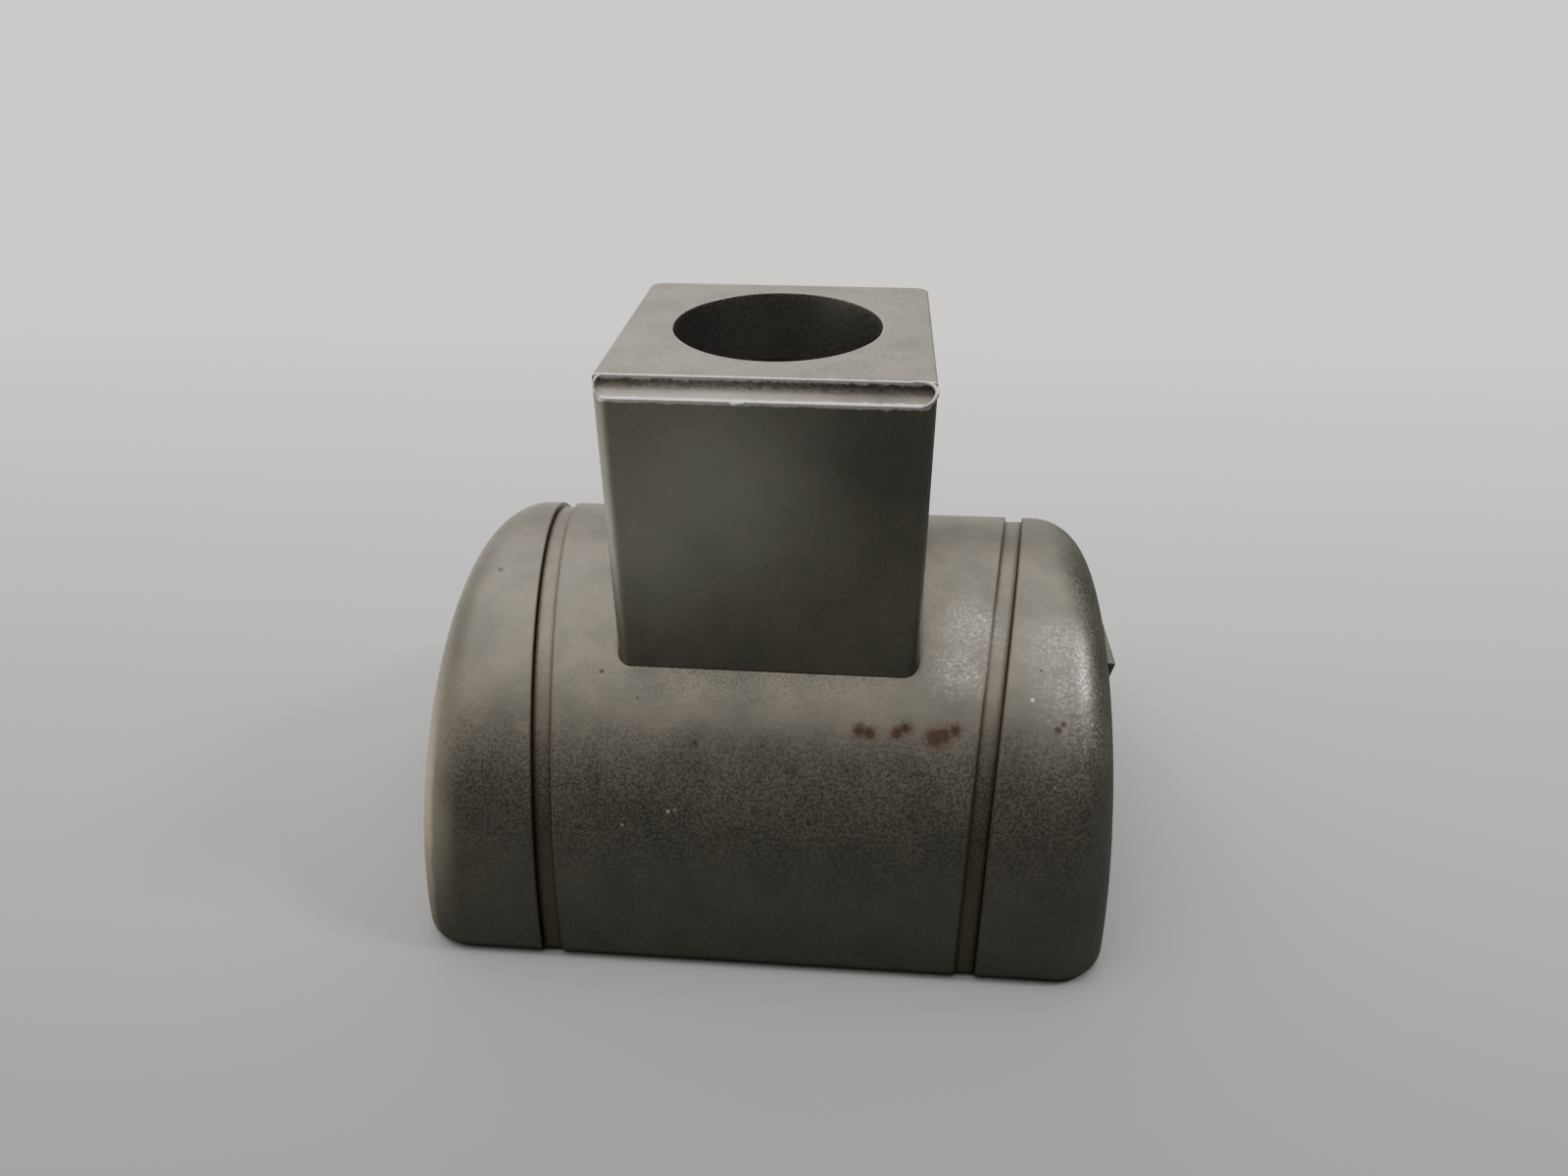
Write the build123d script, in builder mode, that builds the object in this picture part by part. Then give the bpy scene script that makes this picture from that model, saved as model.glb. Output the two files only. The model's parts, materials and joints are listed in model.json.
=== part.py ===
from build123d import *
from math import sqrt
import os

os.makedirs("parts", exist_ok=True)

# Half-round saddle tee with a square branch. Millimetres.
# Origin: the middle of the run axis, which lies in the plane of the base.
# X runs along the run, Z goes up the branch and -Y is the front.

# run, shared by the barrel and its two end collars
run_radius = 23.6
run_length = 51.4
channel_radius = 11.05  # half-round underside, for a 22 mm tube
end_round = 4.0  # rounding where the outside turns into the end faces
base_round = 1.0  # soft outer edge of the base

# shadow grooves along the two collar joints
collar_width = 7.1  # from the end face to the middle of the groove, over the run axis
groove_lean = 8.0  # degrees; the two grooves draw together towards the front
groove_width = 1.45
groove_depth = 0.4

# half-ring tenons on the barrel, which the collars slide onto
tenon_wall = 2.5
tenon_cover = 1.6  # metal left over the end of each tenon
joint_gap = 0.02  # clearance of every brazed joint, each side

# square branch post, let into a square seat in the barrel
post_width = 22.2
post_edge_round = 1.0
post_top_round = 0.2
branch_rise = 18.4  # top of the post above the crown of the run
post_forward = 2.1  # the branch stands this far in front of the run axis
post_lean = 1.0  # draft: the front face comes forward by this much at the top
lean_start = 0.4  # the draft begins this far above the barrel
seat_depth = 6.0  # floor of the seat below the crown

# branch bore, for a 15 mm tube, with an oval mouth drawn towards the back
bore_radius = 7.55
mouth_side_flare = 0.03
mouth_long_flare = 0.75
mouth_back_shift = 0.45
mouth_depth = 5.0

# hollow ledge along the top of the post's front face
ledge_margin = 0.4  # wall left at each end of the ledge's front edge
ledge_flare = 1.6  # the ends splay out by this much over twice the ledge's drop
ledge_drop = 1.3  # from the top of the post to the ledge's front edge
ledge_riser = 0.15  # small step down behind the ledge
ledge_hollow = 0.14  # how far the ledge dips below a straight slope
ledge_end_round = 0.5

# ramped locating key in the right collar's end face
key_width = 6.0
key_height = 3.5
key_proud = 0.85
key_bed = 1.0  # depth of the key's pocket
key_forward = 4.5  # middle of the key, in front of the run axis
key_rise = 5.6  # middle of the key, out from the wall of the channel
key_edge_round = 0.15

half_length = run_length / 2
groove_offset = half_length - collar_width
seat_height = run_radius - seat_depth
post_top_height = run_radius + branch_rise
tenon_reach = half_length - tenon_cover
front_face_y = -post_forward - post_width / 2
back_face_y = front_face_y + post_width
lean_height = sqrt(run_radius**2 - front_face_y**2) + lean_start
lean_slope = post_lean / (post_top_height - lean_height)
post_side = [
    (front_face_y, seat_height),
    (front_face_y, lean_height),
    (front_face_y - post_lean, post_top_height),
    (back_face_y, post_top_height),
    (back_face_y, seat_height),
]

ledge_top = post_top_height - ledge_riser
ledge_front = post_top_height - ledge_drop
ledge_front_y = front_face_y - lean_slope * (ledge_front - lean_height)
ledge_dip = (
    (front_face_y + ledge_front_y) / 2 + ledge_hollow,
    (ledge_top + ledge_front) / 2 - ledge_hollow,
)
ledge_room = ledge_front_y - post_lean
ledge_foot = post_width / 2 - ledge_margin
ledge_mouth = ledge_foot + ledge_flare
ledge_ceiling = ledge_front + 2 * ledge_drop
ledge_outline = [
    (-ledge_foot, ledge_front),
    (ledge_foot, ledge_front),
    (ledge_mouth, ledge_ceiling),
    (-ledge_mouth, ledge_ceiling),
]
key_circle = channel_radius + key_rise
key_middle_height = sqrt(key_circle**2 - key_forward**2)
key_low = key_middle_height - key_height / 2
key_section = [
    (half_length - key_bed, key_low),
    (half_length, key_low),
    (half_length + key_proud, key_low + key_height),
    (half_length - key_bed, key_low + key_height),
]


def groove_plane(side, step):
    # Plane of one groove, facing out of the run's end; step moves it outwards.
    outward = Vector(side, 0, 0).rotate(Axis.Z, -side * groove_lean)
    middle = Plane(origin=(side * groove_offset, 0, 0), z_dir=outward)
    return middle.offset(step)


def run_shell(inset):
    # The run's whole half-ring with its rounded ends, drawn in by inset on the outside.
    outer_radius = run_radius - inset
    with BuildPart() as shell:
        with BuildSketch(Plane.XY) as section:
            with Locations((0, channel_radius)):
                Rectangle(
                    run_length - 2 * inset,
                    outer_radius - channel_radius,
                    align=(Align.CENTER, Align.MIN),
                )
            fillet(section.vertices().group_by(Axis.Y)[-1], end_round - inset)
        revolve(axis=Axis.X, revolution_arc=180)
        base_edges = shell.faces().filter_by(Axis.Z).edges()
        outer_edges = base_edges.filter_by(lambda e: abs(e.center().Y) > channel_radius + joint_gap)
        fillet(outer_edges, base_round - inset)
    return shell.part


def tenon_ring(gap):
    # The half-ring of both tenons in one length, enlarged by gap for the pockets they go into.
    with BuildPart() as ring:
        with BuildSketch(Plane.XY):
            with Locations((0, channel_radius)):
                Rectangle(
                    2 * (tenon_reach + gap),
                    tenon_wall + gap,
                    align=(Align.CENTER, Align.MIN),
                )
        revolve(axis=Axis.X, revolution_arc=180)
    return ring.part


run_outside = run_shell(0)

# The groove floors: the run drawn in by the groove's depth, between the two collars.
with BuildPart() as groove_core:
    add(run_shell(groove_depth))
    for side in (-1, 1):
        split(bisect_by=groove_plane(side, groove_width / 2), keep=Keep.BOTTOM)


# barrel: the middle of the run, with the seat and bore of the branch
with BuildPart() as run_barrel:
    add(run_outside)
    for side in (-1, 1):
        split(bisect_by=groove_plane(side, -groove_width / 2), keep=Keep.BOTTOM)
    add(groove_core.part)
    add(tenon_ring(0))
    with BuildSketch(Plane.XY.offset(seat_height)):
        with Locations((0, -post_forward)):
            RectangleRounded(
                post_width + 2 * joint_gap,
                post_width + 2 * joint_gap,
                post_edge_round + joint_gap,
            )
    extrude(amount=run_radius, mode=Mode.SUBTRACT)
    with BuildSketch(Plane.XY):
        with Locations((0, -post_forward)):
            Circle(bore_radius)
    extrude(amount=run_radius, mode=Mode.SUBTRACT)
run_barrel.part.label = "run_barrel"
export_step(run_barrel.part, "parts/run_barrel.step")


def end_collar(side):
    # One end of the run, bored out to slide onto the barrel's tenon.
    with BuildPart() as collar:
        add(run_outside)
        split(bisect_by=groove_plane(side, groove_width / 2), keep=Keep.TOP)
        add(tenon_ring(joint_gap), mode=Mode.SUBTRACT)
    return collar


left_end_collar = end_collar(-1)
left_end_collar.part.label = "left_end_collar"
export_step(left_end_collar.part, "parts/left_end_collar.step")

# right collar, with the pocket of the locating key
with BuildPart() as right_end_collar:
    add(end_collar(1).part)
    with BuildSketch(Plane.YZ.offset(half_length - key_bed - joint_gap)):
        with Locations((-key_forward, key_middle_height)):
            Rectangle(key_width + 2 * joint_gap, key_height + 2 * joint_gap)
    extrude(amount=key_bed + key_proud, mode=Mode.SUBTRACT)
right_end_collar.part.label = "right_end_collar"
export_step(right_end_collar.part, "parts/right_end_collar.step")

# locating key: a ramp that stands proud at the top and runs out at the bottom
with BuildPart() as locating_key:
    with BuildSketch(Plane.XZ.offset(key_forward)):
        with BuildLine():
            Polyline(*key_section, close=True)
        make_face()
    extrude(amount=key_width / 2, both=True)
    fillet(locating_key.faces().sort_by(Axis.X)[-1].edges(), key_edge_round)
locating_key.part.label = "locating_key"
export_step(locating_key.part, "parts/locating_key.step")

# The ledge's cutter: a step and a hollow slope, open upwards and to the front.
with BuildPart() as ledge:
    with BuildSketch(Plane.YZ):
        with BuildLine():
            ThreePointArc((front_face_y, ledge_top), ledge_dip, (ledge_front_y, ledge_front))
            Polyline(
                (ledge_front_y, ledge_front),
                (ledge_room, ledge_front),
                (ledge_room, ledge_ceiling),
                (front_face_y, ledge_ceiling),
                (front_face_y, ledge_top),
            )
        make_face()
    extrude(amount=ledge_mouth, both=True)
    with BuildSketch(Plane.XZ) as ledge_face:
        with BuildLine():
            Polyline(*ledge_outline, close=True)
        make_face()
        fillet(ledge_face.vertices().group_by(Axis.Y)[0], ledge_end_round)
    extrude(amount=post_width, both=True, mode=Mode.INTERSECT)

# branch post: a square column with the branch bore down its middle
with BuildPart() as branch_post:
    with BuildSketch(Plane.YZ):
        with BuildLine():
            Polyline(*post_side, close=True)
        make_face()
    extrude(amount=post_width / 2, both=True)
    level_edges = branch_post.edges().filter_by(Axis.X) + branch_post.edges().filter_by(Axis.Y)
    fillet(branch_post.edges() - level_edges, post_edge_round)
    fillet(branch_post.faces().sort_by(Axis.Z)[-1].edges(), post_top_round)
    with BuildSketch(Plane.XY.offset(seat_height)):
        with Locations((0, -post_forward)):
            Circle(bore_radius)
    extrude(amount=post_top_height, mode=Mode.SUBTRACT)
    with BuildSketch(Plane.XY.offset(post_top_height - mouth_depth)):
        with Locations((0, -post_forward)):
            Circle(bore_radius)
    with BuildSketch(Plane.XY.offset(post_top_height)):
        with Locations((0, mouth_back_shift - post_forward)):
            Ellipse(bore_radius + mouth_side_flare, bore_radius + mouth_long_flare)
    loft(mode=Mode.SUBTRACT)
    add(ledge.part, mode=Mode.SUBTRACT)
branch_post.part.label = "branch_post"
export_step(branch_post.part, "parts/branch_post.step")
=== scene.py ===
import json
import math

import bpy
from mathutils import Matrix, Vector


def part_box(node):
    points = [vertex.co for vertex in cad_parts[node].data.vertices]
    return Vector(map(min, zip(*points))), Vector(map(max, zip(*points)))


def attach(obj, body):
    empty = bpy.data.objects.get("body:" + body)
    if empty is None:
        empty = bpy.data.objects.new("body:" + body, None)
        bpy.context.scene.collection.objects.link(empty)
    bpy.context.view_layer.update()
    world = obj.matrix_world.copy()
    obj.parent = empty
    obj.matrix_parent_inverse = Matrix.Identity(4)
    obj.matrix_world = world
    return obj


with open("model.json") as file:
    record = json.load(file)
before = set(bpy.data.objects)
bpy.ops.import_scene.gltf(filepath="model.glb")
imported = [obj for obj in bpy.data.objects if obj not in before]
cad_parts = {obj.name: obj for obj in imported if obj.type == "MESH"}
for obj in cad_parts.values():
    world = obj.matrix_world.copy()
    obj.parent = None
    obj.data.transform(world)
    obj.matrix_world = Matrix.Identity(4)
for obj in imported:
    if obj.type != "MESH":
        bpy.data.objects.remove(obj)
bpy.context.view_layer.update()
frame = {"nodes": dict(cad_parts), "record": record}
print("frame loaded")

perMetre = 1000  # patterns are laid out in millimetres
edgeSamples = 6
cornerSamples = 8


def deselectAll():
    if bpy.context.object and bpy.context.object.mode != "OBJECT":
        bpy.ops.object.mode_set(mode="OBJECT")
    bpy.ops.object.select_all(action="DESELECT")


# Node helpers. A value that is a socket gets linked, anything else is set.
def feed(tree, socket, value):
    if isinstance(value, bpy.types.NodeSocket):
        tree.links.new(value, socket)
    else:
        socket.default_value = value


def addNode(tree, kind, inputs=None, **settings):
    node = tree.nodes.new(kind)
    for name, value in settings.items():
        setattr(node, name, value)
    for name, value in (inputs or {}).items():
        feed(tree, node.inputs[name], value)
    return node


def calc(tree, operation, first, second=0.0, clamp=False):
    inputs = {0: first, 1: second}
    return addNode(tree, "ShaderNodeMath", inputs, operation=operation, use_clamp=clamp).outputs[0]


def times(tree, first, second):
    return calc(tree, "MULTIPLY", first, second)


def ramp(tree, value, low, high, toLow=0.0, toHigh=1.0):
    inputs = {"Value": value, "From Min": low, "From Max": high, "To Min": toLow, "To Max": toHigh}
    node = addNode(tree, "ShaderNodeMapRange", inputs, interpolation_type="SMOOTHSTEP")
    return node.outputs["Result"]


def noise(tree, place, scale, detail, roughness):
    inputs = {"Vector": place, "Scale": scale, "Detail": detail, "Roughness": roughness}
    return addNode(tree, "ShaderNodeTexNoise", inputs).outputs["Fac"]


def distance(tree, first, second):
    node = addNode(tree, "ShaderNodeVectorMath", {0: first, 1: second}, operation="DISTANCE")
    return node.outputs["Value"]


def axes(tree, vector):
    return addNode(tree, "ShaderNodeSeparateXYZ", {"Vector": vector}).outputs


def blendColor(tree, share, first, second, mode="MIX"):
    inputs = {0: share, 6: first, 7: second}
    return addNode(tree, "ShaderNodeMix", inputs, data_type="RGBA", blend_type=mode).outputs[2]


def newGroup(name, inputs, outputs):
    group = bpy.data.node_groups.new(name, "ShaderNodeTree")
    for label, kind, value in inputs:
        socket = group.interface.new_socket(name=label, in_out="INPUT", socket_type=kind)
        if value is not None:
            socket.default_value = value
    for label, kind in outputs:
        group.interface.new_socket(name=label, in_out="OUTPUT", socket_type=kind)
    start = group.nodes.new("NodeGroupInput")
    end = group.nodes.new("NodeGroupOutput")
    return group, start.outputs, end.inputs


def useGroup(tree, group, inputs):
    return addNode(tree, "ShaderNodeGroup", inputs, node_tree=group).outputs


# Blasted grain: a fine tooth, a slow orange peel and a few open pits. Scales are per millimetre.
grainSettings = {
    "tooth": 5.2,
    "peel": 0.7,
    "pitShare": 0.07,
    "pitCells": 0.55,
    "pitRadius": (0.05, 0.17),
    "pitEdge": (1.0, 0.45),
    "toothHeight": 0.7,
    "peelHeight": 1.6,
    "pitHeight": 1.5,
    "speckle": (0.36, 0.64),
}


def buildGrain():
    group, start, end = newGroup(
        "blastedGrain",
        [
            ("Place", "NodeSocketVector", None),
            ("Tooth", "NodeSocketFloat", grainSettings["tooth"]),
            ("Peel", "NodeSocketFloat", grainSettings["peel"]),
            ("Pit Share", "NodeSocketFloat", grainSettings["pitShare"]),
        ],
        [("Height", "NodeSocketFloat"), ("Speckle", "NodeSocketFloat"), ("Pits", "NodeSocketFloat")],
    )
    place = start["Place"]
    tooth = noise(group, place, start["Tooth"], 3.0, 0.6)
    peel = noise(group, place, start["Peel"], 2.0, 0.5)
    cells = addNode(
        group,
        "ShaderNodeTexVoronoi",
        {"Vector": place, "Scale": grainSettings["pitCells"], "Randomness": 1.0},
    )
    cellPick = addNode(group, "ShaderNodeSeparateColor", {"Color": cells.outputs["Color"]})
    chosen = calc(group, "LESS_THAN", cellPick.outputs["Red"], start["Pit Share"])
    pitRadius = ramp(group, cellPick.outputs["Green"], 0.0, 1.0, *grainSettings["pitRadius"])
    edge = calc(group, "DIVIDE", cells.outputs["Distance"], pitRadius)
    pits = times(group, ramp(group, edge, *grainSettings["pitEdge"]), chosen)
    low = times(group, peel, grainSettings["peelHeight"])
    height = calc(group, "ADD", times(group, tooth, grainSettings["toothHeight"]), low)
    height = calc(group, "SUBTRACT", height, times(group, pits, grainSettings["pitHeight"]))
    group.links.new(height, end["Height"])
    group.links.new(ramp(group, tooth, *grainSettings["speckle"]), end["Speckle"])
    group.links.new(pits, end["Pits"])
    return group


# Rubbed edges, from the angle between the true surface and a rounded one
wearSettings = {
    "radius": 0.0004,
    "amount": 0.5,
    "turned": (0.985, 0.86),
}


def buildEdgeWear():
    group, start, end = newGroup(
        "edgeWear",
        [
            ("Radius", "NodeSocketFloat", wearSettings["radius"]),
            ("Amount", "NodeSocketFloat", wearSettings["amount"]),
        ],
        [("Mask", "NodeSocketFloat")],
    )
    rounded = addNode(group, "ShaderNodeBevel", {"Radius": start["Radius"]}, samples=edgeSamples)
    surface = addNode(group, "ShaderNodeNewGeometry")
    normals = {0: rounded.outputs["Normal"], 1: surface.outputs["Normal"]}
    turned = addNode(group, "ShaderNodeVectorMath", normals, operation="DOT_PRODUCT")
    mask = ramp(group, turned.outputs["Value"], *wearSettings["turned"])
    mask = calc(group, "MULTIPLY", mask, start["Amount"], clamp=True)
    group.links.new(mask, end["Mask"])
    return group


# Brown film that stays in corners and grooves, with painted shade: closed-in places are darkened
cornerFilmAndShadeSettings = {
    "reach": 0.0008,
    "closed": (0.95, 0.45),
}


def buildCornerFilmAndShade():
    group, start, end = newGroup(
        "cornerFilmAndShade",
        [("Reach", "NodeSocketFloat", cornerFilmAndShadeSettings["reach"]), ("Amount", "NodeSocketFloat", 1.0)],
        [("Mask", "NodeSocketFloat")],
    )
    closed = addNode(
        group, "ShaderNodeAmbientOcclusion", {"Distance": start["Reach"]}, samples=cornerSamples
    )
    mask = ramp(group, closed.outputs["AO"], *cornerFilmAndShadeSettings["closed"])
    group.links.new(calc(group, "MULTIPLY", mask, start["Amount"], clamp=True), end["Mask"])
    return group


# One round place with a ragged soft edge. Millimetres.
def buildSoftSpot():
    group, start, end = newGroup(
        "softSpot",
        [
            ("Place", "NodeSocketVector", None),
            ("Middle", "NodeSocketVector", None),
            ("Radius", "NodeSocketFloat", 1.0),
            ("Ragged", "NodeSocketFloat", 0.5),
            ("Wander Scale", "NodeSocketFloat", 1.7),
            ("Edge From", "NodeSocketFloat", 1.2),
            ("Edge To", "NodeSocketFloat", 0.5),
        ],
        [("Mask", "NodeSocketFloat")],
    )
    wander = noise(group, start["Place"], start["Wander Scale"], 4.0, 0.7)
    gap = distance(group, start["Place"], start["Middle"])
    sway = times(group, calc(group, "SUBTRACT", times(group, wander, 2.0), 1.0), start["Ragged"])
    reach = times(group, calc(group, "ADD", sway, 1.0), start["Radius"])
    share = ramp(group, calc(group, "DIVIDE", gap, reach), start["Edge From"], start["Edge To"])
    group.links.new(share, end["Mask"])
    return group


# Painted shade along both edges of the two grooves, in the dark film colour, and a brown film on their
# floors. Millimetres, from the middle plane of a groove, outwards.
grooveSettings = {
    "offset": 18.6,
    "lean": 8.0,
    "outer": (0.30, 0.62, 0.78, 0.95),  # starts, full, full, ends
    "inner": (-0.98, -0.76, -0.62, -0.42),
    "floor": (-0.8, -0.7, 0.7, 0.8),
    "outerAmount": 0.72,
    "innerAmount": 0.5,
    "floorAmount": 0.4,
    "tint": (0.15, 0.122, 0.085, 1.0),  # dry film on the floor, lower down
    "tintHeights": (21.0, 13.0),
}


def band(tree, value, edges):
    return times(tree, ramp(tree, value, edges[0], edges[1]), ramp(tree, value, edges[3], edges[2]))


def buildGrooveShadeAndFilm():
    group, start, end = newGroup(
        "grooveShadeAndFilm",
        [
            ("Place", "NodeSocketVector", None),
            ("Outer Amount", "NodeSocketFloat", grooveSettings["outerAmount"]),
            ("Inner Amount", "NodeSocketFloat", grooveSettings["innerAmount"]),
            ("Floor Amount", "NodeSocketFloat", grooveSettings["floorAmount"]),
        ],
        [("Shade Lines", "NodeSocketFloat"), ("Floor", "NodeSocketFloat")],
    )
    lean = math.radians(grooveSettings["lean"])
    parts = axes(group, start["Place"])
    away = calc(group, "SUBTRACT", calc(group, "ABSOLUTE", parts["X"]), grooveSettings["offset"])
    away = times(group, away, math.cos(lean))
    away = calc(group, "SUBTRACT", away, times(group, parts["Y"], math.sin(lean)))
    low = times(group, ramp(group, parts["Z"], *grooveSettings["tintHeights"]), start["Floor Amount"])
    outer = times(group, band(group, away, grooveSettings["outer"]), start["Outer Amount"])
    inner = times(group, band(group, away, grooveSettings["inner"]), start["Inner Amount"])
    group.links.new(calc(group, "MAXIMUM", outer, inner), end["Shade Lines"])
    group.links.new(times(group, band(group, away, grooveSettings["floor"]), low), end["Floor"])
    return group


# Cast stainless steel: warm and light on top, with painted shade on faces that stand upright
castSettings = {
    "light": (0.197, 0.180, 0.150),
    "dark": (0.150, 0.141, 0.119),
    # side: colour of the painted shade on faces that stand upright
    "side": (0.122, 0.121, 0.108, 1.0),
    # filmAndShade: dark brown for real pits and film, also used for painted shade in corners and grooves
    "filmAndShade": (0.075, 0.055, 0.034, 1.0),
    # rubbedAndSheen: bright metal for real wear and nicks, also used for painted glints and highlights
    "rubbedAndSheen": (0.78, 0.76, 0.73, 1.0),
    "patchScale": 0.22,
    "patchRange": (0.35, 0.68),
    "uprightRange": (0.6, 0.3),
    "speckle": 0.6,
    "pitFilm": 0.7,
    "cornerClear": 3.0,  # how far corners keep the rubbed edges away
    "metallic": 0.85,
    "edgeRadius": 0.0002,
    "roughness": (0.36, 0.54),
    "grainDepth": 0.00001,
}


def buildCastToneAndShade():
    group, start, end = newGroup(
        "castToneAndShade",
        [
            ("Place", "NodeSocketVector", None),
            ("Light", "NodeSocketColor", (*castSettings["light"], 1.0)),
            ("Dark", "NodeSocketColor", (*castSettings["dark"], 1.0)),
            ("Side", "NodeSocketColor", castSettings["side"]),
            ("Side Share", "NodeSocketFloat", 0.5),
        ],
        [("Color", "NodeSocketColor")],
    )
    patch = noise(group, start["Place"], castSettings["patchScale"], 5.0, 0.6)
    mottled = ramp(group, patch, *castSettings["patchRange"])
    color = blendColor(group, mottled, start["Light"], start["Dark"])
    surface = addNode(group, "ShaderNodeNewGeometry")
    upward = axes(group, surface.outputs["Normal"])["Z"]
    # painted shade: the steeper the face, the more of the side colour
    upright = ramp(group, upward, *castSettings["uprightRange"], 0.0, start["Side Share"])
    group.links.new(blendColor(group, upright, color, start["Side"]), end["Color"])
    return group


# Places where handling has rubbed the grain smooth, with painted glints and sheen: middle and radius in
# millimetres
rubbedSheenSettings = {
    "collar": [((22.9, -13.4, 19.2), 3.2), ((21.6, -10.5, 20.6), 3.0), ((23.8, -15.5, 16.8), 2.4)],
    "barrel": [((15.2, -9.3, 21.7), 2.6), ((14.2, -12.5, 20.0), 2.2)],
    "ragged": 0.6,
    "wander": 0.6,
    "edge": (1.4, 0.1),
    "specks": 3.8,  # per millimetre
    "speckRange": (0.42, 0.8),
    "amount": (0.05, 0.62),
    "smoother": 0.14,
}


# Painted glints: bright specks of the rubbed colour over the rubbed places
def buildRubbedGlints():
    group, start, end = newGroup(
        "rubbedGlints",
        [
            ("Place", "NodeSocketVector", None),
            ("Area", "NodeSocketFloat", 1.0),
            ("Specks", "NodeSocketFloat", rubbedSheenSettings["specks"]),
        ],
        [("Mask", "NodeSocketFloat")],
    )
    specks = noise(group, start["Place"], start["Specks"], 3.0, 0.75)
    specks = ramp(group, specks, *rubbedSheenSettings["speckRange"], *rubbedSheenSettings["amount"])
    group.links.new(times(group, start["Area"], specks), end["Mask"])
    return group


blastedGrain = buildGrain()
edgeWear = buildEdgeWear()
cornerFilmAndShade = buildCornerFilmAndShade()
softSpot = buildSoftSpot()
grooveShadeAndFilm = buildGrooveShadeAndFilm()
castToneAndShade = buildCastToneAndShade()
rubbedGlints = buildRubbedGlints()
print("groups done")


def spots(tree, place, places, ragged=0.5, wander=1.7, edge=(1.2, 0.5)):
    # One mask over several round places
    total = None
    for middle, radius in places:
        shape = {"Place": place, "Middle": middle, "Radius": radius, "Ragged": ragged, "Wander Scale": wander}
        share = useGroup(tree, softSpot, {**shape, "Edge From": edge[0], "Edge To": edge[1]})["Mask"]
        total = share if total is None else calc(tree, "MAXIMUM", total, share)
    return total


def castStainless(name, paint=None, tone=1.0, uprightShadeShare=0.5, filmAndShadeAmount=0.8, wear=0.35, rubbedAndSheen=None):
    # paint adds a piece's own stains and marks, and painted shade and highlights: it takes the tree, the
    # place, the colour and the roughness so far
    material = bpy.data.materials.new(name)
    material.use_nodes = True
    tree = material.node_tree
    tree.nodes.clear()
    where = addNode(tree, "ShaderNodeTexCoord")
    scaled = {"Vector": where.outputs["Object"], "Scale": (perMetre, perMetre, perMetre)}
    place = addNode(tree, "ShaderNodeMapping", scaled).outputs["Vector"]
    grain = useGroup(tree, blastedGrain, {"Place": place})
    corner = useGroup(tree, cornerFilmAndShade, {})["Mask"]
    clear = times(tree, corner, castSettings["cornerClear"])
    clear = calc(tree, "SUBTRACT", 1.0, clear, clamp=True)
    worn = times(tree, useGroup(tree, edgeWear, {})["Mask"], clear)

    light, dark = [[value * tone for value in castSettings[name]] + [1.0] for name in ("light", "dark")]
    tones = {"Place": place, "Light": light, "Dark": dark, "Side Share": uprightShadeShare}
    color = useGroup(tree, castToneAndShade, tones)["Color"]
    speckled = times(tree, grain["Speckle"], castSettings["speckle"])
    color = blendColor(tree, speckled, color, castSettings["rubbedAndSheen"], "SOFT_LIGHT")
    # brown film and painted corner shade, where the surface is closed in
    color = blendColor(tree, times(tree, corner, filmAndShadeAmount), color, castSettings["filmAndShade"])
    color = blendColor(tree, times(tree, grain["Pits"], castSettings["pitFilm"]), color, castSettings["filmAndShade"])
    color = blendColor(tree, times(tree, worn, wear), color, castSettings["rubbedAndSheen"])
    roughness = ramp(tree, grain["Speckle"], 0.0, 1.0, *castSettings["roughness"])
    # rubbed places: smoother, with painted glints and sheen in the rubbed colour
    if rubbedAndSheen:
        settings = rubbedSheenSettings
        area = spots(tree, place, rubbedAndSheen, settings["ragged"], settings["wander"], settings["edge"])
        bright = useGroup(tree, rubbedGlints, {"Place": place, "Area": area})["Mask"]
        color = blendColor(tree, bright, color, castSettings["rubbedAndSheen"])
        roughness = calc(tree, "SUBTRACT", roughness, times(tree, bright, settings["smoother"]))
    if paint:
        color, roughness = paint(tree, place, color, roughness)
    softened = addNode(
        tree, "ShaderNodeBevel", {"Radius": castSettings["edgeRadius"]}, samples=edgeSamples
    )
    bump = addNode(
        tree,
        "ShaderNodeBump",
        {
            "Height": grain["Height"],
            "Distance": castSettings["grainDepth"],
            "Strength": 1.0,
            "Normal": softened.outputs["Normal"],
        },
    )
    shader = addNode(
        tree,
        "ShaderNodeBsdfPrincipled",
        {
            "Base Color": color,
            "Metallic": castSettings["metallic"],
            "Roughness": roughness,
            "Normal": bump.outputs["Normal"],
        },
    )
    finish = addNode(tree, "ShaderNodeOutputMaterial")
    tree.links.new(shader.outputs["BSDF"], finish.inputs["Surface"])
    return material


def paintGroove(tree, place, color, roughness):
    filmAndShade = useGroup(tree, grooveShadeAndFilm, {"Place": place})
    color = blendColor(tree, filmAndShade["Floor"], color, grooveSettings["tint"])
    # painted shade along both edges of each groove
    return blendColor(tree, filmAndShade["Shade Lines"], color, castSettings["filmAndShade"]), roughness


# Painted highlight along the left end's rounded edge, below mid height
leftEndHighlight = {
    "highlightX": (-23.5, -24.2),
    "highlightZ": (20.0, 12.0),
    "wanderScale": 0.5,
    "wander": 0.8,
    "color": (0.46, 0.375, 0.29, 1.0),
    "amount": 0.7,
}


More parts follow.
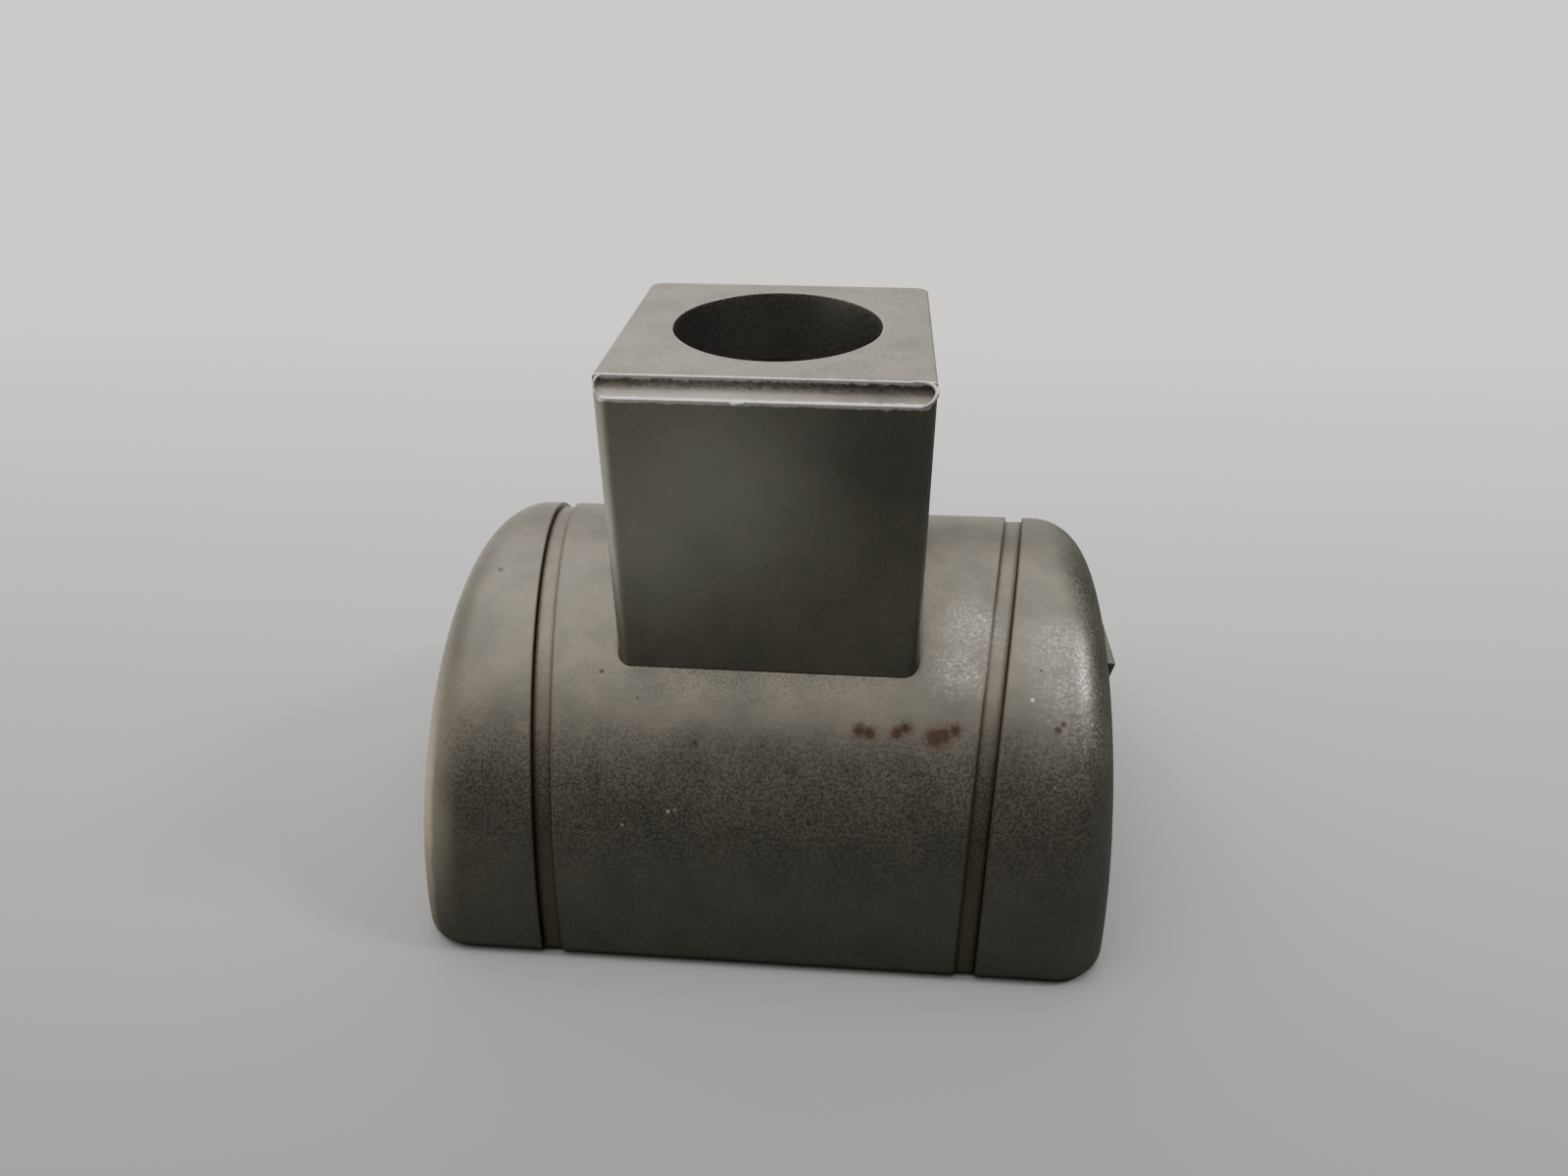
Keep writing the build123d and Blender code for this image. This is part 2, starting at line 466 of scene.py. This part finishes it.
def paintLeftCollar(tree, place, color, roughness):
    color, roughness = paintGroove(tree, place, color, roughness)
    parts = axes(tree, place)
    wander = noise(tree, place, leftEndHighlight["wanderScale"], 4.0, 0.6)
    edge = calc(tree, "ADD", parts["X"], times(tree, wander, leftEndHighlight["wander"]))
    side = ramp(tree, edge, *leftEndHighlight["highlightX"])
    low = ramp(tree, parts["Z"], *leftEndHighlight["highlightZ"])
    # painted highlight band in a pale warm colour
    share = times(tree, times(tree, side, low), leftEndHighlight["amount"])
    return blendColor(tree, share, color, leftEndHighlight["color"]), roughness


# Single marks: pits are dark, nicks are bright. Middle and radius in millimetres
markSettings = {
    "barrelPits": [((-12.2, -13.7, 19.2), 0.2), ((-9.3, -15.2, 18.0), 0.12), ((3.4, -19.6, 13.1), 0.14)],
    "barrelNicks": [((-6.5, -20.4, 11.9), 0.16), ((-6.0, -20.3, 12.0), 0.12), ((-9.8, -20.9, 10.9), 0.14)],
    "collarPits": [((21.1, -15.9, 17.4), 0.3), ((21.5, -15.6, 17.7), 0.2), ((20.0, -12.4, 20.1), 0.14)],
    "collarNicks": [((19.3, -14.3, 18.8), 0.16), ((21.4, -21.6, 9.2), 0.12), ((20.9, -18.6, 14.4), 0.12)],
    "ragged": 0.7,
    "wander": 3.0,
    "amount": 0.8,
}


def paintMarks(tree, place, color, kind):
    for mark, finish in (("Pits", "filmAndShade"), ("Nicks", "rubbedAndSheen")):
        share = spots(tree, place, markSettings[kind + mark], markSettings["ragged"], markSettings["wander"])
        color = blendColor(tree, times(tree, share, markSettings["amount"]), color, castSettings[finish])
    return color


def paintRightCollar(tree, place, color, roughness):
    color, roughness = paintGroove(tree, place, color, roughness)
    return paintMarks(tree, place, color, "collar"), roughness


# Small rust stains on the front of the barrel: middle and radius in millimetres
rustSettings = {
    "stains": [
        ((7.0, -16.4, 16.9), 0.7),
        ((7.7, -16.5, 16.8), 0.7),
        ((9.7, -16.45, 16.9), 0.65),
        ((10.3, -16.2, 17.15), 0.6),
        ((12.4, -16.7, 16.7), 1.05),
        ((13.0, -16.5, 16.9), 0.95),
        ((13.8, -16.3, 17.2), 0.7),
        ((-4.8, -17.4, 15.9), 0.3),
    ],
    "ragged": 0.95,
    "wander": 3.2,
    "edge": (1.3, 0.25),
    "amount": 0.62,
    "color": (0.115, 0.042, 0.028, 1.0),
    "roughness": 0.85,
}


def paintBarrel(tree, place, color, roughness):
    color, roughness = paintGroove(tree, place, color, roughness)
    color = paintMarks(tree, place, color, "barrel")
    settings = rustSettings
    stained = spots(tree, place, settings["stains"], settings["ragged"], settings["wander"], settings["edge"])
    color = blendColor(tree, times(tree, stained, settings["amount"]), color, settings["color"])
    return color, calc(tree, "MAXIMUM", roughness, times(tree, stained, settings["roughness"]))


# Post: front darkened by the painted upright shade, with one lighter and one darker patch, a bore left as it
# was cast and darkened as painted shade, and painted highlights on the ledge's edges
postSettings = {
    # bore: cast colour, darkened as painted shade inside the bore
    "bore": (0.17, 0.165, 0.15, 1.0),
    "boreReach": (8.75, 8.65),  # millimetres from the bore's axis
    "boreDepth": (0.05, 0.9),  # millimetres below the top
    "frontReach": (10.6, 10.9),  # millimetres in front of the bore's axis
    "lightPatch": [((-4.0, -13.8, 34.0), 10.0), ((-8.0, -13.6, 30.5), 8.0)],
    "darkPatch": [((8.5, -14.0, 37.5), 8.0)],
    "patchRagged": 0.3,
    "patchWander": 0.3,
    "patchEdge": (1.3, 0.0),
    "patchLight": (0.62, 0.61, 0.59, 1.0),
    "patchDark": (0.06, 0.054, 0.048, 1.0),
    "lightAmount": 0.42,
    "darkAmount": 0.45,
    "ledgeBack": 11.1,  # in front of the bore's axis
    "ledgeReach": 0.94,  # from the back edge of the ledge to its front edge
    "ledgeDrop": 1.3,
    "rimWidth": 0.28,
    "rimWander": 1.3,
    "rimEdge": (1.1, 0.5),
    "rimHighlightAmount": 0.8,
    "rimHighlightColor": (0.86, 0.84, 0.81, 1.0),
}

boreMount = next(mount for mount in frame["record"]["mounts"] if mount["name"] == "branch_bore")
postLow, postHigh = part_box("branch_post")


def ledgeRimHighlights(tree, place, parts, top, axisY):
    # Painted highlights along the two long edges of the ledge, broken up by noise
    back = axisY - postSettings["ledgeBack"]
    front = back - postSettings["ledgeReach"]
    wander = noise(tree, place, postSettings["rimWander"], 3.0, 0.7)
    width = times(tree, wander, 2.0 * postSettings["rimWidth"])
    across = addNode(tree, "ShaderNodeCombineXYZ", {"X": 0.0, "Y": parts["Y"], "Z": parts["Z"]}).outputs[0]
    total = None
    for y, z in ((back, top), (front, top - postSettings["ledgeDrop"])):
        gap = calc(tree, "DIVIDE", distance(tree, across, (0.0, y, z)), width)
        share = ramp(tree, gap, *postSettings["rimEdge"], 0.0, postSettings["rimHighlightAmount"])
        total = share if total is None else calc(tree, "MAXIMUM", total, share)
    return total


def paintPost(tree, place, color, roughness):
    settings = postSettings
    top = postHigh[2] * perMetre
    axisX, axisY = [value * perMetre for value in boreMount["pos_m"][:2]]
    parts = axes(tree, place)
    frontFrom, frontFull = [axisY - reach for reach in settings["frontReach"]]
    front = ramp(tree, parts["Y"], frontFrom, frontFull)
    soft = settings["patchRagged"], settings["patchWander"], settings["patchEdge"]
    for kind in ("dark", "light"):
        patch = spots(tree, place, settings[kind + "Patch"], *soft)
        share = times(tree, times(tree, patch, front), settings[kind + "Amount"])
        color = blendColor(tree, share, color, settings["patch" + kind.capitalize()])
    flat = addNode(tree, "ShaderNodeCombineXYZ", {"X": parts["X"], "Y": parts["Y"], "Z": 0.0}).outputs[0]
    inside = ramp(tree, distance(tree, flat, (axisX, axisY, 0.0)), *settings["boreReach"])
    deepFrom, deepFull = [top - depth for depth in settings["boreDepth"]]
    deep = ramp(tree, parts["Z"], deepFrom, deepFull)
    # cast colour and painted shade inside the bore
    color = blendColor(tree, times(tree, inside, deep), color, settings["bore"])
    rimHighlight = ledgeRimHighlights(tree, place, parts, top, axisY)
    return blendColor(tree, rimHighlight, color, settings["rimHighlightColor"]), roughness


def coat(node, material):
    piece = frame["nodes"][node]
    piece.data.materials.clear()
    piece.data.materials.append(material)


castBarrel = castStainless("castBarrel", paintBarrel, rubbedAndSheen=rubbedSheenSettings["barrel"])
castLeftCollar = castStainless("castLeftCollar", paintLeftCollar)
castRightCollar = castStainless("castRightCollar", paintRightCollar, rubbedAndSheen=rubbedSheenSettings["collar"])
castPost = castStainless("castPost", paintPost, tone=1.66, uprightShadeShare=0.6, filmAndShadeAmount=0.25, wear=0.5)
castKey = castStainless("castKey", filmAndShadeAmount=0.4)
coat("run_barrel", castBarrel)
coat("left_end_collar", castLeftCollar)
coat("right_end_collar", castRightCollar)
coat("branch_post", castPost)
coat("locating_key", castKey)
print("finishes done")


# Burrs that stand up from the ends and the front edge of the ledge. Paths start from the
# back edge of the ledge, in the top face, and are in millimetres.
burrSettings = {
    "right_ledge_burr": {
        "path": [
            (9.5, 0.05, 0.0),
            (10.9, 0.05, 0.08),
            (11.4, -0.3, -0.2),
            (11.2, -0.95, -0.95),
            (10.1, -1.0, -1.28),
        ],
        "swell": (0.5, 1.1, 1.6, 1.4, 0.6),
    },
    "left_ledge_burr": {
        "path": [
            (-10.4, 0.0, 0.0),
            (-10.95, -0.1, -0.1),
            (-11.1, -0.5, -0.5),
            (-10.95, -0.9, -1.0),
            (-10.4, -0.95, -1.25),
        ],
        "swell": (0.3, 0.7, 0.8, 0.7, 0.3),
    },
    "front_ledge_burr": {
        "path": [
            (-2.2, -0.93, -1.27),
            (-1.9, -1.0, -1.33),
            (-1.6, -1.25, -1.45),
            (-1.35, -1.02, -1.34),
            (-1.0, -0.93, -1.27),
        ],
        "swell": (0.4, 1.2, 2.3, 1.2, 0.4),
    },
    "radius": 0.00011,
    "bevelSteps": 4,
    "pathSteps": 16,
    "lump": 0.0006,
    "lumpHeight": 0.00009,
    "rubbedAndSheen": 0.8,
}


# Burrs take the rubbed colour: worn bright metal with painted highlight, lifted further by the high tone
# below
def paintBurr(tree, place, color, roughness):
    return blendColor(tree, burrSettings["rubbedAndSheen"], color, castSettings["rubbedAndSheen"]), roughness


def buildBurrs(finish):
    top = postHigh[2]
    back = boreMount["pos_m"][1] - (postHigh[0] - postLow[0]) / 2
    clouds = bpy.data.textures.new("burrLumps", "CLOUDS")
    clouds.noise_scale = burrSettings["lump"]
    for name in ("right_ledge_burr", "left_ledge_burr", "front_ledge_burr"):
        deselectAll()
        bpy.ops.curve.primitive_nurbs_path_add()
        burr = bpy.context.object
        burr.name = name
        spline = burr.data.splines[0]
        shape = burrSettings[name]
        for point, (x, y, z), swell in zip(spline.points, shape["path"], shape["swell"]):
            point.co = (x / perMetre, back + y / perMetre, top + z / perMetre, 1.0)
            point.radius = swell
        spline.use_endpoint_u = True
        burr.data.bevel_depth = burrSettings["radius"]
        burr.data.bevel_resolution = burrSettings["bevelSteps"]
        burr.data.resolution_u = burrSettings["pathSteps"]
        burr.data.use_fill_caps = True
        bpy.ops.object.convert(target="MESH")
        lumps = burr.modifiers.new("lumps", "DISPLACE")
        lumps.texture = clouds
        lumps.texture_coords = "LOCAL"
        lumps.strength = burrSettings["lumpHeight"]
        lumps.mid_level = 0.5
        bpy.ops.object.modifier_apply(modifier="lumps")
        bpy.ops.object.shade_smooth()
        burr.data.materials.clear()
        burr.data.materials.append(finish)
        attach(burr, "root")


buildBurrs(castStainless("rubbedHighlightBurr", paintBurr, tone=3.6, uprightShadeShare=0.0, filmAndShadeAmount=0.3))
print("burrs done")


# A pale floor with painted shade in front, brighter towards the back, under a large soft light and one small
# lamp
stageSettings = {
    "floorSize": 8.0,
    # painted shade in front, growing to painted light towards the back
    "floorNearShade": (0.27, 0.275, 0.29, 1.0),
    "floorFarLit": (0.99, 0.98, 0.965, 1.0),
    "floorFrom": (-0.07, 0.13),  # metres, front to back
    # seen only in reflections: painted shade for the table in front, painted light to the left
    "bounceDim": (0.165, 0.172, 0.155, 1.0),  # what the metal sees of the table in front
    "bounceLit": (0.92, 0.88, 0.80, 1.0),  # and to the left
    "bounceTurn": 0.5,
    "bounceFrom": (0.012, 0.05),
    "sunStrength": 2.1,
    "sunSpread": 90,
    "sunFrom": (-0.12, 0.2, 1.0),
    "lampStrength": 0.8,
    "lampSpread": 11,
    "lampFrom": (0.71, 0.05, 0.70),
    "windowSide": (-0.66, 0.62, 0.42),  # the room is brightest towards here
    "roomRange": (-0.1, 1.0),
    "roomColor": (1.0, 0.97, 0.93, 1.0),
    "roomStrength": (0.06, 0.9),
}


def buildFloor():
    settings = stageSettings
    deselectAll()
    bpy.ops.mesh.primitive_plane_add(size=settings["floorSize"])
    floor = bpy.context.object
    floor.name = "floor"
    material = bpy.data.materials.new("paleTable")
    material.use_nodes = True
    tree = material.node_tree
    tree.nodes.clear()
    where = addNode(tree, "ShaderNodeTexCoord")
    parts = axes(tree, where.outputs["Object"])
    near, far = settings["floorFrom"]
    backRange = {"Value": parts["Y"], "From Min": near, "From Max": far}
    back = addNode(tree, "ShaderNodeMapRange", backRange).outputs["Result"]
    floorColor = blendColor(tree, back, settings["floorNearShade"], settings["floorFarLit"])
    left = calc(tree, "SUBTRACT", times(tree, parts["Y"], settings["bounceTurn"]), parts["X"])
    litSide = ramp(tree, left, *settings["bounceFrom"])
    bounceColor = blendColor(tree, litSide, settings["bounceDim"], settings["bounceLit"])
    seen = addNode(tree, "ShaderNodeBsdfDiffuse", {"Color": floorColor})
    bounced = addNode(tree, "ShaderNodeBsdfDiffuse", {"Color": bounceColor})
    cameraRay = addNode(tree, "ShaderNodeLightPath").outputs["Is Camera Ray"]
    mix = addNode(tree, "ShaderNodeMixShader", {0: cameraRay, 1: bounced.outputs[0], 2: seen.outputs[0]})
    finish = addNode(tree, "ShaderNodeOutputMaterial")
    tree.links.new(mix.outputs[0], finish.inputs["Surface"])
    floor.data.materials.append(material)


def buildLights():
    settings = stageSettings
    for name in ("sun", "lamp"):
        data = bpy.data.lights.new(name, "SUN")
        data.energy = settings[name + "Strength"]
        data.angle = math.radians(settings[name + "Spread"])
        light = bpy.data.objects.new(name, data)
        light.rotation_euler = Vector(settings[name + "From"]).to_track_quat("Z", "Y").to_euler()
        bpy.context.scene.collection.objects.link(light)
    world = bpy.data.worlds.new("room")
    bpy.context.scene.world = world
    world.use_nodes = True
    tree = world.node_tree
    where = addNode(tree, "ShaderNodeTexCoord")
    window = Vector(settings["windowSide"]).normalized()
    sides = {0: where.outputs["Generated"], 1: window}
    toward = addNode(tree, "ShaderNodeVectorMath", sides, operation="DOT_PRODUCT").outputs["Value"]
    back = tree.nodes["Background"]
    back.inputs["Color"].default_value = settings["roomColor"]
    feed(tree, back.inputs["Strength"], ramp(tree, toward, *settings["roomRange"], *settings["roomStrength"]))


cameraSettings = {
    "place": (0.006845, -0.08224, 0.06664),
    "tilt": 59.997,
    "roll": 0.05,
    "turn": 4.548,
    "lens": 26.107,
    "sensor": 36.0,
    "nearest": 0.002,
    "furthest": 50.0,
}


def buildCamera():
    data = bpy.data.cameras.new("camera")
    data.lens = cameraSettings["lens"]
    data.sensor_width = cameraSettings["sensor"]
    data.clip_start = cameraSettings["nearest"]
    data.clip_end = cameraSettings["furthest"]
    camera = bpy.data.objects.new("camera", data)
    camera.location = cameraSettings["place"]
    camera.rotation_euler = [math.radians(cameraSettings[name]) for name in ("tilt", "roll", "turn")]
    bpy.context.scene.collection.objects.link(camera)
    bpy.context.scene.camera = camera


buildFloor()
buildLights()
buildCamera()
print("stage done")
